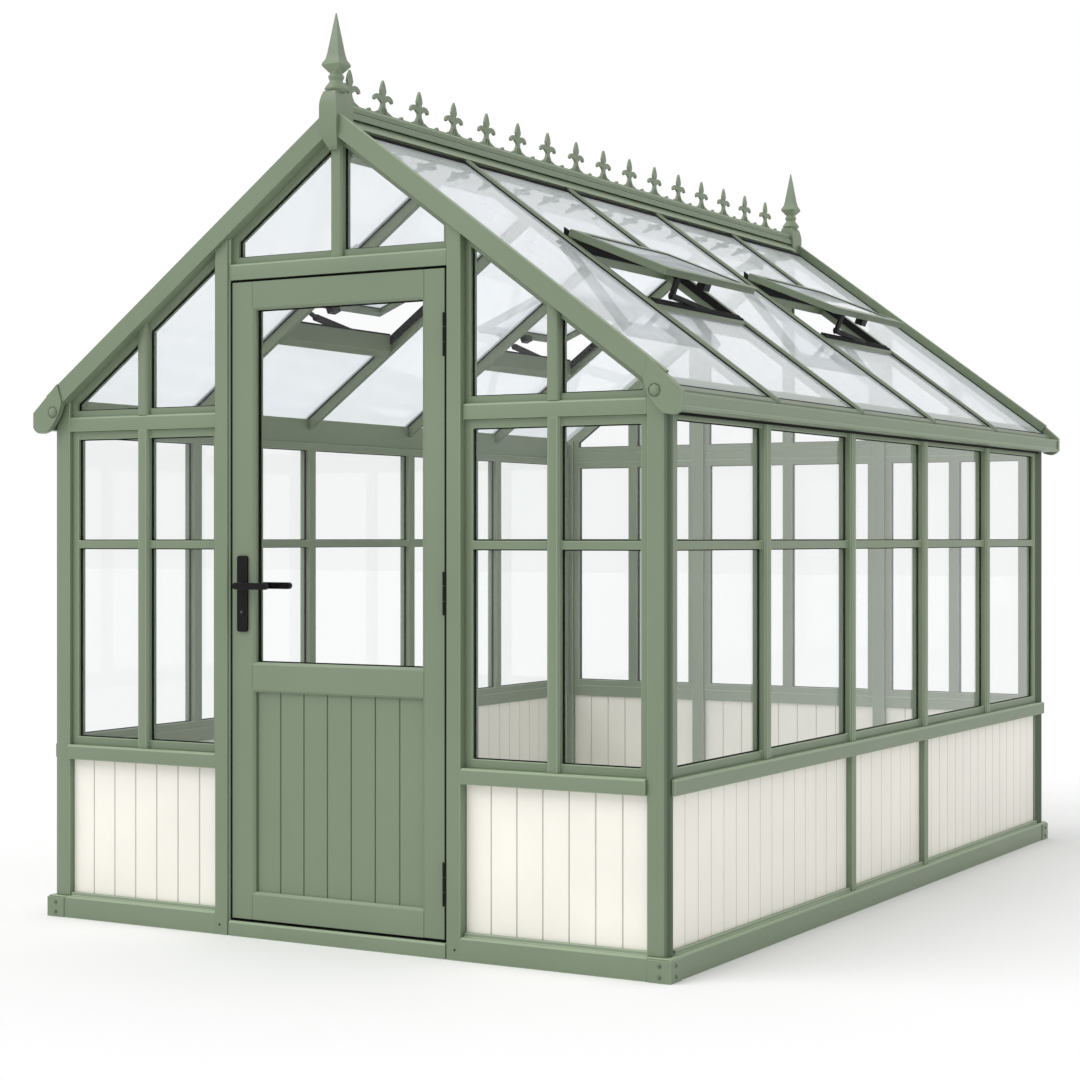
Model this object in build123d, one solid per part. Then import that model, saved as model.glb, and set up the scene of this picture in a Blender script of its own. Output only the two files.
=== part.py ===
from build123d import *
import os
from math import cos, radians, sin, tan

os.makedirs("parts", exist_ok=True)

# Overall sizes in millimetres: a garden greenhouse standing on its own timber base
width = 2160
length = 3310
pitch = 36.5
apex_z = 2440

# Heights from the ground
plinth_top = 67
dwarf_rail_low = 497
dwarf_rail_top = 542
mid_bar_low = 1157
mid_bar_top = 1181
eaves_rail_low = 1522
eaves_rail_top = 1567
side_frame_top = 1535
door_head_low = 1960
door_head_top = 2008

# Roof levels, square to the slope and counted from the top line of the gable rafters
rafter_deep = 56
bar_top = -20
bar_low = -68
glass_top = -30
glass_thick = 4
glass_low = glass_top - glass_thick
eaves_x = 1105

# Posts, rails and bars
post = 64
post_deep = 60
door_post = 50
stile = 25
mullion = 40
ledge = 12
edge_bevel = 4
frame_out = 14
frame_in = 48
glass_in = 26
side_bays = 5
bay = length / side_bays

# Door leaf
door_wide = 755
door_low = 52.5
door_high = 1952.5
door_gap = 6
door_thick = 44
door_back_step = 2
door_stile = 82
lock_rail_low = 729
lock_rail_top = 819
door_bottom_rail_top = 135
door_top_rail_low = 1868

half = width / 2
front_y = -length / 2
back_y = length / 2
jamb_in = door_wide / 2 + door_gap
jamb_out = jamb_in + door_post
bay_out = half - post
side_run = length / 2 - post_deep
rise = tan(radians(pitch))
lean = cos(radians(pitch))
steep = sin(radians(pitch))

# Where each wall's own frame stands: x along the wall, y inwards from its outer face
front_wall = Pos(0, front_y, 0)
back_wall = Pos(0, back_y, 0) * Rot(0, 0, 180)
right_wall = Pos(half, 0, 0) * Rot(0, 0, 90)
left_wall = Pos(-half, 0, 0) * Rot(0, 0, -90)
end_walls = (front_wall, back_wall)
side_walls = (right_wall, left_wall)


def block(x, y, z):
    """A square-edged bar between two corners, each side given as low and high."""
    return Pos(sum(x) / 2, sum(y) / 2, sum(z) / 2) * Box(x[1] - x[0], y[1] - y[0], z[1] - z[0])


def prism(corners, run):
    """A closed outline of points in space, carried straight along a run."""
    return extrude(Face(Wire.make_polygon(corners, close=True)), amount=abs(run), dir=run.normalized())


def across(points, y_low, y_high):
    """An outline seen from the front, carried along the building from y_low to y_high."""
    return prism([Vector(x, y_low, z) for x, z in points], Vector(0, y_high - y_low, 0))


def upright(points, z_low, z_high):
    """An outline seen from above, carried upwards."""
    return prism([Vector(x, y, z_low) for x, y in points], Vector(0, 0, z_high - z_low))


def rail(x, y, z):
    """A bar along the wall whose outer top edge is bevelled to shed water."""
    points = [(y[0], z[0]), (y[1], z[0]), (y[1], z[1]), (y[0] + edge_bevel, z[1]), (y[0], z[1] - edge_bevel)]
    return prism([Vector(x[0], at_y, at_z) for at_y, at_z in points], Vector(x[1] - x[0], 0, 0))


def both_sides(piece):
    """The piece and its mirror image across the ridge line."""
    return [piece, mirror(piece, Plane.YZ)]


def roof_z(x, lift=0):
    """Height of the roof at x, lifted square to the slope from the rafters' top line."""
    return apex_z - abs(x) * rise + lift / lean


def under_roof(x_in, x_out, z_low, lift):
    """Outline standing on z_low and cut off at the top by the roof slope."""
    return [(x_in, z_low), (x_out, z_low), (x_out, roof_z(x_out, lift)), (x_in, roof_z(x_in, lift))]


def on_slope(points, y_low, y_high):
    """An outline of places out from the ridge and lifts off the slope, carried along the building."""
    return across([(x, roof_z(x, lift)) for x, lift in points], y_low, y_high)


def slope_strip(x_in, x_out, low, high, y_low, y_high):
    """A straight length of roof member with plumb-cut ends."""
    return on_slope([(x_in, low), (x_out, low), (x_out, high), (x_in, high)], y_low, y_high)


def down_slope(section, x_in, x_out):
    """A roof bar of any section, given as places along the ridge and lifts, with plumb-cut ends."""
    ends = []
    for x in (x_in, x_out):
        ends.append(Wire.make_polygon([Vector(x, y, roof_z(x, lift)) for y, lift in section], close=True))
    return Solid.make_loft(ends, ruled=True)


def save(name, pieces):
    """Write one named part of the building, holding one or more like pieces."""
    solids = []
    for piece in pieces:
        solids += piece.solids()
    whole = solids[0] if len(solids) == 1 else Compound(children=solids)
    whole.label = name
    export_step(whole, f"parts/{name}.step")


# Bays of the low wall, end to end: beside the door, across the back, and three down each side
dwarf_post_wide = 34
dwarf_post_half = dwarf_post_wide / 2
side_dwarf_post_y = (-bay / 2, bay / 2)
back_bay = (-jamb_in, jamb_in)
door_side_bay = (jamb_out, bay_out)
side_dwarf_bays = [
    (-side_run, -bay / 2 - dwarf_post_half),
    (-bay / 2 + dwarf_post_half, bay / 2 - dwarf_post_half),
    (bay / 2 + dwarf_post_half, side_run),
]


def end_bays(make):
    """The piece made for each bay of the two ends, leaving the doorway open."""
    pieces = [wall * piece for wall in end_walls for piece in both_sides(make(door_side_bay))]
    return pieces + [back_wall * make(back_bay)]


# Base plinth with a narrow bead under the boards, and the doorway left open for the threshold
plinth_deep = 58
panel_out = 20
panel_in = 38
bead_out = 6
bead_top = plinth_top + 11
plinth_y = (-ledge, plinth_deep)
end_plinth_half = half - plinth_deep


def foot_bead(reach):
    """The recessed strip that closes the foot of one boarded bay."""
    return block(reach, (bead_out, panel_out), (plinth_top, bead_top))


door_side_plinth = rail((jamb_out, end_plinth_half), plinth_y, (0, plinth_top)) + foot_bead(door_side_bay)
back_plinth = rail((-end_plinth_half, end_plinth_half), plinth_y, (0, plinth_top)) + foot_bead(back_bay)
for piece in both_sides(foot_bead(door_side_bay)):
    back_plinth += piece
end_plinths = [front_wall * piece for piece in both_sides(door_side_plinth)]
save("end_plinths", end_plinths + [back_wall * back_plinth])

side_plinth_half = length / 2 + ledge
side_plinth = rail((-side_plinth_half, side_plinth_half), plinth_y, (0, plinth_top))
for reach in side_dwarf_bays:
    side_plinth += foot_bead(reach)
save("side_plinths", [wall * side_plinth for wall in side_walls])

threshold_top = 45
save("door_threshold", [front_wall * rail(back_bay, plinth_y, (0, threshold_top))])

# Steel angle round each corner of the base
bracket_leg = 64
bracket_thick = 3
bracket_low = 0
bracket_high = 61
bracket_x = half + ledge
bracket_y = length / 2 + ledge
angle = block(
    (bracket_x - bracket_leg, bracket_x + bracket_thick),
    (bracket_y - bracket_leg, bracket_y + bracket_thick),
    (bracket_low, bracket_high),
)
angle -= block((0, bracket_x), (0, bracket_y), (0, plinth_top))
brackets = [end for side in both_sides(angle) for end in (side, mirror(side, Plane.XZ))]
save("corner_brackets", brackets)

# Corner posts stand on the plinth, rounded outside, with the face towards the side windows turned inwards
turn_start = 30
turn_run = 22
turn_in = 14
post_round = 20
round_steps = 4
corner_section = [(bay_out, 0)]
for step in range(round_steps + 1):
    turn = radians(90 * step / round_steps)
    corner_section.append((half - post_round + post_round * sin(turn), post_round - post_round * cos(turn)))
corner_section += [
    (half, turn_start),
    (half - turn_in, turn_start + turn_run),
    (half - turn_in, post_deep),
    (bay_out, post_deep),
]
corner_post = upright(corner_section, plinth_top, apex_z)
corner_post &= across(under_roof(bay_out, half, plinth_top, -rafter_deep), 0, post_deep)
save("corner_posts", [wall * piece for wall in end_walls for piece in both_sides(corner_post)])

# Door posts run from the ground to the rafters, flush with the plinth outside, with a stop lip behind the door
door_back = door_back_step + door_thick
stop_gap = 6
stop_lip = 12
jamb_rebate = 4
door_jamb = across(under_roof(jamb_in, jamb_out, 0, -rafter_deep), 0, post_deep)
door_jamb += across(under_roof(jamb_in + jamb_rebate, jamb_out, 0, -rafter_deep), -ledge, 0)
stop_y = (door_back + stop_gap, post_deep)
door_jamb += block((jamb_in - stop_lip, jamb_in), stop_y, (threshold_top, door_head_low))
save("door_posts", [front_wall * piece for piece in both_sides(door_jamb)])

head_proud = 4
door_head = rail(back_bay, (-head_proud, post_deep), (door_head_low, door_head_top))
save("door_head", [front_wall * door_head])

back_post = across(under_roof(jamb_in, jamb_out, plinth_top, -rafter_deep), 0, post_deep)
save("back_posts", [back_wall * piece for piece in both_sides(back_post)])

# Short posts that divide the low wall of boards on each side
dwarf_posts = []
for wall in side_walls:
    for place in side_dwarf_post_y:
        reach = (place - dwarf_post_half, place + dwarf_post_half)
        dwarf_posts.append(wall * block(reach, (0, frame_in), (plinth_top, dwarf_rail_low)))
save("side_dwarf_posts", dwarf_posts)

# Rail that caps the low wall, standing a little proud as a sill
sill_y = (-ledge, frame_in)
sill_z = (dwarf_rail_low, dwarf_rail_top)
save("end_dwarf_rails", end_bays(lambda reach: rail(reach, sill_y, sill_z)))
sill_lap = length / 2 - post_round
side_sill = rail((-side_run, side_run), sill_y, sill_z) + rail((-sill_lap, sill_lap), (-ledge, 0), sill_z)
save("side_dwarf_rails", [wall * side_sill for wall in side_walls])

# Cream boarded panels of the low wall
panel_y = (panel_out, panel_in)
panel_z = (plinth_top, dwarf_rail_low)
save("end_dwarf_panels", end_bays(lambda reach: block(reach, panel_y, panel_z)))
side_panels = [wall * block(reach, panel_y, panel_z) for wall in side_walls for reach in side_dwarf_bays]
save("side_dwarf_panels", side_panels)

nose = 6


def mullion_bar(centre, z_low, z_high):
    """An upright glazing bar that stands in front of the frame with bevelled edges."""
    wide = mullion / 2
    points = [
        (centre - wide, frame_in),
        (centre - wide, nose),
        (centre - wide + nose, 0),
        (centre + wide - nose, 0),
        (centre + wide, nose),
        (centre + wide, frame_in),
    ]
    return upright(points, z_low, z_high)


def window_frame(x_low, x_high, z_low, z_high, centres):
    """Glazed frame with upright bars and one cross bar, returned with its panes of glass."""
    frame = block((x_low, x_high), (frame_out, frame_in), (z_low, z_high))
    columns = [x_low + stile]
    for centre in centres:
        columns += [centre - mullion / 2, centre + mullion / 2]
    columns.append(x_high - stile)
    rows = [z_low + stile, mid_bar_low, mid_bar_top, z_high - stile]
    panes = []
    for left, right in zip(columns[0::2], columns[1::2]):
        for low, high in zip(rows[0::2], rows[1::2]):
            frame -= block((left, right), (0, post_deep), (low, high))
            panes.append(block((left, right), (glass_in, glass_in + glass_thick), (low, high)))
    for centre in centres:
        frame += mullion_bar(centre, z_low, z_high)
    return frame, panes


# Windows in the two ends: one each side of the door, and one more across the back
light_centre = (jamb_out + bay_out) / 2
light_frame, light_panes = window_frame(jamb_out, bay_out, dwarf_rail_top, eaves_rail_low, [light_centre])
back_frame, back_panes = window_frame(-jamb_in, jamb_in, dwarf_rail_top, eaves_rail_low, [0])
save("front_window_frames", [front_wall * piece for piece in both_sides(light_frame)])
save("back_window_frames", [back_wall * piece for piece in both_sides(light_frame) + [back_frame]])
end_glass = [pane for one in light_panes for pane in both_sides(one)]
save("front_window_glass", [front_wall * pane for pane in end_glass])
save("back_window_glass", [back_wall * pane for pane in end_glass + back_panes])

# Windows down the two sides, five bays long
side_centres = [bay * index - length / 2 for index in range(1, side_bays)]
side_frame, side_panes = window_frame(-side_run, side_run, dwarf_rail_top, side_frame_top, side_centres)
save("side_window_frames", [wall * side_frame for wall in side_walls])
save("side_window_glass", [wall * pane for wall in side_walls for pane in side_panes])

# Rails across the ends at eaves height, and the eaves beams down the sides
eaves_rail_z = (eaves_rail_low, eaves_rail_top)
save("end_eaves_rails", end_bays(lambda reach: rail(reach, (0, frame_in), eaves_rail_z)))

beam_in = half - 36
beam_points = under_roof(beam_in, half, side_frame_top, glass_low)
save("side_eaves_beams", both_sides(across(beam_points, -side_run, side_run)))

# Finials: a block clasping the rafters, a turned neck and bead, and a square spike
spike_tip = 2717
finial_front = 42
seat_drop = 232
finial_top = spike_tip - seat_drop
finial_low = 2318
block_half = 30
shoulder = 52
pendant_half = 13.5
pendant_turn = 2376
finial_middle = (frame_in - finial_front) / 2
shoulder_in = 9
bulge_in = 2.5
swell_in = 7
front_swell_in = 14
round_z = finial_top - shoulder
bulge_z = finial_top - 22
swell_z = finial_low + 24


def finial_block():
    """The block over the gable's peak, rounded at the shoulders and drawn in to a pendant below."""
    nose_y = -finial_front
    hip = (block_half, pendant_turn)
    front_hip = (nose_y, pendant_turn)
    shoulder_x = block_half - shoulder_in
    shoulder_y = nose_y + shoulder_in
    with BuildSketch() as face:
        with BuildLine():
            Line((0, finial_low), (pendant_half, finial_low))
            ThreePointArc((pendant_half, finial_low), (block_half - swell_in, swell_z), hip)
            Line(hip, (block_half, round_z))
            ThreePointArc((block_half, round_z), (block_half - bulge_in, bulge_z), (shoulder_x, finial_top))
            Line((shoulder_x, finial_top), (0, finial_top))
            Line((0, finial_top), (0, finial_low))
        make_face()
        mirror(about=Plane.YZ)
    with BuildSketch() as side:
        with BuildLine():
            Line((frame_in, finial_low), (-pendant_half, finial_low))
            ThreePointArc((-pendant_half, finial_low), (nose_y + front_swell_in, swell_z), front_hip)
            Line(front_hip, (nose_y, round_z))
            ThreePointArc((nose_y, round_z), (nose_y + bulge_in, bulge_z), (shoulder_y, finial_top))
            Line((shoulder_y, finial_top), (frame_in, finial_top))
            Line((frame_in, finial_top), (frame_in, finial_low))
        make_face()
    front_form = extrude(Plane.XZ * face.sketch, amount=finial_front + frame_in, both=True)
    side_form = extrude(Plane.YZ * side.sketch, amount=block_half, both=True)
    return front_form & side_form


# Half widths of the square spike at drops below its tip, and the turned neck under it
spike_widths = [(0, 1.5), (118, 19), (136, 23), (146, 29), (152, 31), (157, 29.5), (175, 15)]
neck_drop = 172
neck_profile = [(0, seat_drop), (28, seat_drop), (35, 222), (30, 214), (19, 200), (24, 186), (15, neck_drop),
                (0, neck_drop)]


def finial():
    """One whole finial standing at the middle of an end wall."""
    squares = []
    for drop, size in spike_widths:
        corners = [(-size, -size), (size, -size), (size, size), (-size, size)]
        squares.append(Wire.make_polygon([Vector(x, y, spike_tip - drop) for x, y in corners], close=True))
    spike = Solid.make_loft(squares, ruled=True)
    half_neck = [Vector(x, 0, spike_tip - drop) for x, drop in neck_profile]
    neck = revolve(Face(Wire.make_polygon(half_neck, close=True)), Axis.Z)
    return finial_block() + Pos(0, finial_middle, 0) * (neck + spike)


one_finial = finial()
save("ridge_finials", [wall * one_finial for wall in end_walls])


border = 20
recess_y = (0, frame_out)


def gable_light(x_in, x_out, z_low):
    """Glazed frame under the rafter beside the door posts, with one upright bar."""
    outline = across(under_roof(x_in, x_out, z_low, -rafter_deep), 0, frame_in)
    hole_points = under_roof(x_in + border, x_out - border, z_low + border, -rafter_deep - border)
    hole = across(hole_points, 0, post_deep)
    bar = mullion_bar((x_in + x_out) / 2, z_low, apex_z) & outline
    frame = outline - block((x_in, x_out), recess_y, (z_low, apex_z)) - hole + bar
    return frame, across(hole_points, glass_in, glass_in + glass_thick) - bar


def peak_light(z_low):
    """Pointed window under the ridge with a centre bar, cut away where the finial passes through."""
    gap_points = under_roof(mullion / 2, jamb_in - border, z_low + border, -rafter_deep - border)
    outline = across(under_roof(0, jamb_in, z_low, -rafter_deep), 0, frame_in)
    right = outline - block((0, jamb_in), recess_y, (z_low, apex_z)) - across(gap_points, 0, post_deep)
    bar = mullion_bar(0, z_low, apex_z) & (outline + mirror(outline, Plane.YZ))
    frame = right + mirror(right, Plane.YZ) + bar - one_finial
    return frame, both_sides(across(gap_points, glass_in, glass_in + glass_thick))


# Upper windows in the gables
wing_frame, wing_pane = gable_light(jamb_out, bay_out, eaves_rail_top)
door_peak, door_peak_panes = peak_light(door_head_top)
back_peak, back_peak_panes = peak_light(eaves_rail_top)
wings = both_sides(wing_frame)
wing_panes = both_sides(wing_pane)
save("front_gable_frames", [front_wall * piece for piece in wings + [door_peak]])
save("back_gable_frames", [back_wall * piece for piece in wings + [back_peak]])
gable_panes = [front_wall * pane for pane in wing_panes + door_peak_panes]
gable_panes += [back_wall * pane for pane in wing_panes + back_peak_panes]
save("gable_glass", gable_panes)

# Gable rafters, proud of the end walls like barge boards and cut square at the eaves
rafter_front = 28
rafter_back = 32
barge_back = -8
rafter_end_x = 1088
mitre = 1
rafter_points = [
    (mitre, roof_z(mitre, -rafter_deep)),
    (rafter_end_x - rafter_deep * steep, roof_z(rafter_end_x) - rafter_deep * lean),
    (rafter_end_x, roof_z(rafter_end_x)),
    (mitre, roof_z(mitre)),
]
rafter = across(rafter_points, -rafter_front, rafter_back)
rafter -= on_slope([(0, glass_low), (half + rafter_deep, glass_low), (half + rafter_deep, rafter_deep),
                    (0, rafter_deep)], barge_back, rafter_back)
rafter -= one_finial
save("gable_rafters", [wall * piece for wall in end_walls for piece in both_sides(rafter)])

# Ridge: a beam inside, a stepped cap over it, and a thin wing each side lapping onto the bars
ridge_half = 30
ridge_low = 2300
ridge_cap_top = 2456
wing_reach = 46
wing_top = -16
ridge_half_points = [
    (ridge_half, ridge_low),
    (ridge_half, roof_z(ridge_half, bar_top)),
    (wing_reach, roof_z(wing_reach, bar_top)),
    (wing_reach, roof_z(wing_reach, wing_top)),
    (16, roof_z(16, wing_top)),
    (16, ridge_cap_top - 42),
    (23, ridge_cap_top - 42),
    (23, ridge_cap_top - 22),
    (15, ridge_cap_top - 22),
    (15, ridge_cap_top - 19),
    (18, ridge_cap_top - 19),
    (18, ridge_cap_top - 3),
    (14, ridge_cap_top),
]
ridge_points = ridge_half_points + [(-x, z) for x, z in reversed(ridge_half_points)]
ridge_run = (front_y + frame_in, back_y - frame_in)
save("ridge_beam", [across(ridge_points, *ridge_run)])

# Glazing bars from ridge to eaves: a bevelled cap over the glass, a neck between panes, a body below
cap_half = 15
neck_half = 6
body_half = 11
bar_cap = [(-neck_half, glass_low), (neck_half, glass_low), (neck_half, glass_top), (cap_half, glass_top),
           (cap_half, bar_top - edge_bevel), (body_half, bar_top), (-body_half, bar_top),
           (-cap_half, bar_top - edge_bevel), (-cap_half, glass_top), (-neck_half, glass_top)]
bar_body = [(-body_half, bar_low), (body_half, bar_low), (body_half, glass_low), (-body_half, glass_low)]
bar_end_x = eaves_x + 3
roof_bar = down_slope(bar_cap, ridge_half, bar_end_x) + down_slope(bar_body, ridge_half, beam_in)
bar_lines = [front_y + bay * index for index in range(1, side_bays)]
save("roof_bars", [piece for line in bar_lines for piece in both_sides(Pos(0, line, 0) * roof_bar)])

# Roof glass, leaving room for a vent in the second and fourth bays of each slope
trimmer_wide = 26
vent_head_x = 392
vent_sill_x = 680
vent_bays = (1, 3)
vent_spans = [(ridge_half, vent_head_x), (vent_sill_x + trimmer_wide, eaves_x)]
strip_in = 13
strip_lip = 3
strip_points = [
    (eaves_x - strip_in, glass_top),
    (eaves_x, glass_top),
    (eaves_x, glass_low - strip_lip),
    (eaves_x + strip_lip, glass_low - strip_lip),
    (eaves_x + strip_lip, glass_top + strip_lip),
    (eaves_x - strip_in, glass_top + strip_lip),
]


def trimmer_bar(top_x, reach):
    """A cross bar between two glazing bars, at the head or the sill of a vent."""
    low_x = top_x + trimmer_wide
    square_edge = [(low_x - edge_bevel, bar_top), (top_x, bar_top), (top_x, bar_low), (low_x, bar_low)]
    return on_slope(square_edge + [(low_x, bar_top - edge_bevel)], *reach)


roof_panes = []
trimmers = []
eaves_strips = []
for index in range(side_bays):
    start = front_y + bay * index
    pane_y = (start + neck_half, start + bay - neck_half)
    clear_y = (start + cap_half, start + bay - cap_half)
    if index == 0:
        pane_y = (front_y + barge_back, pane_y[1])
        clear_y = (front_y + barge_back, clear_y[1])
    if index == side_bays - 1:
        pane_y = (pane_y[0], back_y - barge_back)
        clear_y = (clear_y[0], back_y - barge_back)
    spans = vent_spans if index in vent_bays else [(ridge_half, eaves_x)]
    for x_in, x_out in spans:
        roof_panes += both_sides(slope_strip(x_in, x_out, glass_low, glass_top, *pane_y))
    eaves_strips += both_sides(on_slope(strip_points, *clear_y))
    if index in vent_bays:
        for top_x in (vent_head_x, vent_sill_x):
            trimmers += both_sides(trimmer_bar(top_x, clear_y))
save("roof_glass", roof_panes)
save("vent_trimmers", trimmers)
save("eaves_strips", eaves_strips)

# Roof vents, hinged at the top edge and standing open on folding arms
vent_open = 14
vent_long = 360
vent_rail = 30
vent_deep = 24
vent_overlap = 8
drip_lip = 12
drip_thick = 3
hinge_x = vent_head_x + 8
arm_wide = 24
arm_thick = 8
pivot_r = 11
pivot_long = 16
pivot_sides = 12
foot_out = 10
foot_aside = 93
elbow_in = 8
elbow_aside = 151
elbow_up = 31
grip_aside = 203
glass_down = 8
catch_along = (vent_long - 36, vent_long - 8)
catch_half = 22
catch_deep = 24


def strap(start, finish):
    """A flat steel arm from one point to another, standing on edge."""
    run = finish - start
    end = Plane(start, x_dir=Vector(0, 1, 0).cross(run), z_dir=run)
    return extrude(end * Rectangle(arm_thick, arm_wide), amount=run.length)


hinge_z = roof_z(hinge_x, bar_top)
sash_slope = radians(pitch - vent_open)
rail_along = vent_long - vent_rail / 2
grip_x = hinge_x + rail_along * cos(sash_slope)
grip_z = hinge_z - rail_along * sin(sash_slope)
vent_frames = []
vent_panes = []
vent_openers = []
for index in vent_bays:
    y_low = front_y + bay * index + cap_half - vent_overlap
    y_high = front_y + bay * (index + 1) - cap_half + vent_overlap
    middle = (y_low + y_high) / 2
    lay = Pos(hinge_x, 0, hinge_z) * Rot(0, pitch - vent_open, 0)
    light_x = (vent_rail, vent_long - vent_rail)
    light_y = (y_low + vent_rail, y_high - vent_rail)
    sash_y = (y_low, y_high)
    sash = block((0, vent_long), sash_y, (0, vent_deep)) - block(light_x, light_y, (0, vent_deep))
    sash += block((vent_long, vent_long + drip_lip), sash_y, (vent_deep - drip_thick, vent_deep))
    sash = lay * sash
    vent_frames += both_sides(sash)
    pane_lift = (vent_deep - glass_down, vent_deep - glass_down + glass_thick)
    vent_panes += both_sides(lay * block(light_x, light_y, pane_lift))
    foot = Vector(vent_sill_x + foot_out, middle + foot_aside, roof_z(vent_sill_x + foot_out, bar_top))
    elbow = Vector(vent_sill_x - elbow_in, middle - elbow_aside, foot.Z + elbow_up)
    grip = Vector(grip_x, middle - grip_aside, grip_z)
    pin = extrude(RegularPolygon(pivot_r, pivot_sides), amount=pivot_long / 2, both=True)
    pivot = Pos(*elbow) * Rot(0, 90, 0) * pin
    sill = trimmer_bar(vent_sill_x, sash_y)
    opener = strap(foot, elbow) + strap(elbow, grip) + pivot - sash - sill
    catch = lay * block(catch_along, (middle - catch_half, middle + catch_half), (-catch_deep, 0))
    vent_openers += both_sides(opener) + both_sides(catch)
save("vent_frames", vent_frames)
save("vent_glass", vent_panes)
save("vent_openers", vent_openers)

# Pressed gutter along each eaves: flat back, plain face with a lip below and a rolled edge above
gutter_out = half + 56
gutter_low = 1528
gutter_top = 1576
gutter_wall = 3
gutter_back = half + gutter_wall
gutter_points = [
    (half, gutter_top),
    (half, gutter_low),
    (gutter_out - 8, gutter_low),
    (gutter_out, gutter_low + 4),
    (gutter_out, gutter_low + 10),
    (gutter_out - 3, gutter_low + 13),
    (gutter_out - 3, gutter_top - 5),
    (gutter_out, gutter_top - 3),
    (gutter_out, gutter_top),
    (gutter_out - 6, gutter_top),
    (gutter_out - 6, gutter_low + 10),
    (gutter_out - 11, gutter_low + gutter_wall),
    (gutter_back, gutter_low + gutter_wall),
    (gutter_back, gutter_top),
]
plate_in = 14
gutter_y = (front_y - plate_in, back_y + plate_in)
save("side_gutters", both_sides(across(gutter_points, *gutter_y)))

# Shaped plates that close the gutters' ends and cover the feet of the rafters
plate_proud = 6
plate_edge = half + 57
plate_shoulder = (1096, 1619)
plate_corner = (plate_edge, 1582)
plate_lip = (plate_edge, 1536)
plate_toe = (1097, 1518)
plate_heel = (1080, 1523)
plate_waist = (1046, 1558)
plate_tail = (1022, roof_z(1022, -rafter_deep))
plate_head = (1040, roof_z(1040))
with BuildSketch() as end_plate:
    with BuildLine():
        Polyline(plate_tail, plate_head, plate_shoulder, plate_corner, plate_lip)
        ThreePointArc(plate_lip, (1122, 1521), plate_toe)
        Polyline(plate_toe, plate_heel)
        ThreePointArc(plate_heel, plate_waist, plate_tail)
    make_face()
end_plate_block = extrude(Plane.XZ * end_plate.sketch, amount=rafter_front + plate_proud - plate_in)
cap = Pos(0, -plate_in, 0) * end_plate_block - rafter
save("gutter_end_caps", [wall * piece for wall in end_walls for piece in both_sides(cap)])

# Cast cresting along the ridge: lance heads with curled arms, and a small knob between each pair
crest_thick = 8
strip_tall = 6
crest_pitch = 200
crest_second = 245
crest_behind_finial = 70
knob_r = 8
lance = [(0, 102), (9, 87), (15, 69), (8, 53)]
curled_arm = [(22, 59), (38, 57), (49, 50), (52, 41), (45, 37), (38, 43), (24, 43), (9, 34)]
flared_foot = [(11, 23), (21, 10), (48, 0), (16, 0), (2.5, 22), (2.5, 0)]
lily_half = lance + curled_arm + flared_foot
crest_base = ridge_cap_top + strip_tall
with BuildSketch() as lily:
    with BuildLine():
        Polyline(*lily_half, (0, 0), lily_half[0])
    make_face()
    mirror(about=Plane.YZ)
with BuildSketch() as knob:
    with BuildLine():
        Polyline((-knob_r, 0), (-knob_r * 0.8, knob_r * 0.7), (0, knob_r), (knob_r * 0.8, knob_r * 0.7),
                 (knob_r, 0), close=True)
    make_face()
to_ridge = Plane.YZ.offset(-crest_thick / 2) * Pos(0, crest_base, 0)
lily_cast = extrude(to_ridge * lily.sketch, amount=crest_thick)
knob_cast = extrude(to_ridge * knob.sketch, amount=crest_thick)
crest = block((-crest_thick / 2, crest_thick / 2), ridge_run, (ridge_cap_top, crest_base))
crest_places = [crest_behind_finial] + list(range(crest_second, int(length) - crest_pitch, crest_pitch))
casting = []
for place in crest_places:
    casting.append(Pos(0, front_y + place, 0) * lily_cast)
    casting.append(Pos(0, front_y + place + crest_pitch / 2, 0) * knob_cast)
crest += casting
save("ridge_cresting", [crest - front_wall * one_finial])

# Butt hinges: outer knuckles and pin on the post, middle knuckle on the door, leaves let into both edges
hinge_axis_x = jamb_in - door_gap / 2
hinge_axis_y = -7.5
hinge_heights = (211, 1032, 1764)
hinge_tall = 124
knuckle_r = 7
pin_r = 3
pin_clear = 0.3
middle_tall = 42
leaf_proud = 1
leaf_deep = 30
leaf_y = (hinge_axis_y, leaf_deep)
post_leaf_x = (jamb_in - leaf_proud, jamb_in)
door_leaf_x = (jamb_in - door_gap, jamb_in - door_gap + leaf_proud)
hinge_line = Pos(hinge_axis_x, hinge_axis_y, 0)
fixed_hinges = []
door_hinges = []
for height in hinge_heights:
    spot = hinge_line * Pos(0, 0, height)
    middle_z = (height - middle_tall / 2, height + middle_tall / 2)
    gap = block((hinge_axis_x - 30, hinge_axis_x + 30), (-40, 40), (middle_z[0] - 1, middle_z[1] + 1))
    fixed = spot * Cylinder(knuckle_r, hinge_tall)
    fixed += block(post_leaf_x, leaf_y, (height - hinge_tall / 2, height + hinge_tall / 2))
    fixed_hinges.append(front_wall * (fixed - gap + spot * Cylinder(pin_r, hinge_tall)))
    moving = spot * Cylinder(knuckle_r, middle_tall) + block(door_leaf_x, leaf_y, middle_z)
    door_hinges.append(front_wall * (moving - spot * Cylinder(pin_r + pin_clear, middle_tall)))
save("hinge_knuckles", fixed_hinges)
save("door_hinge_leaves", door_hinges)

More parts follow.
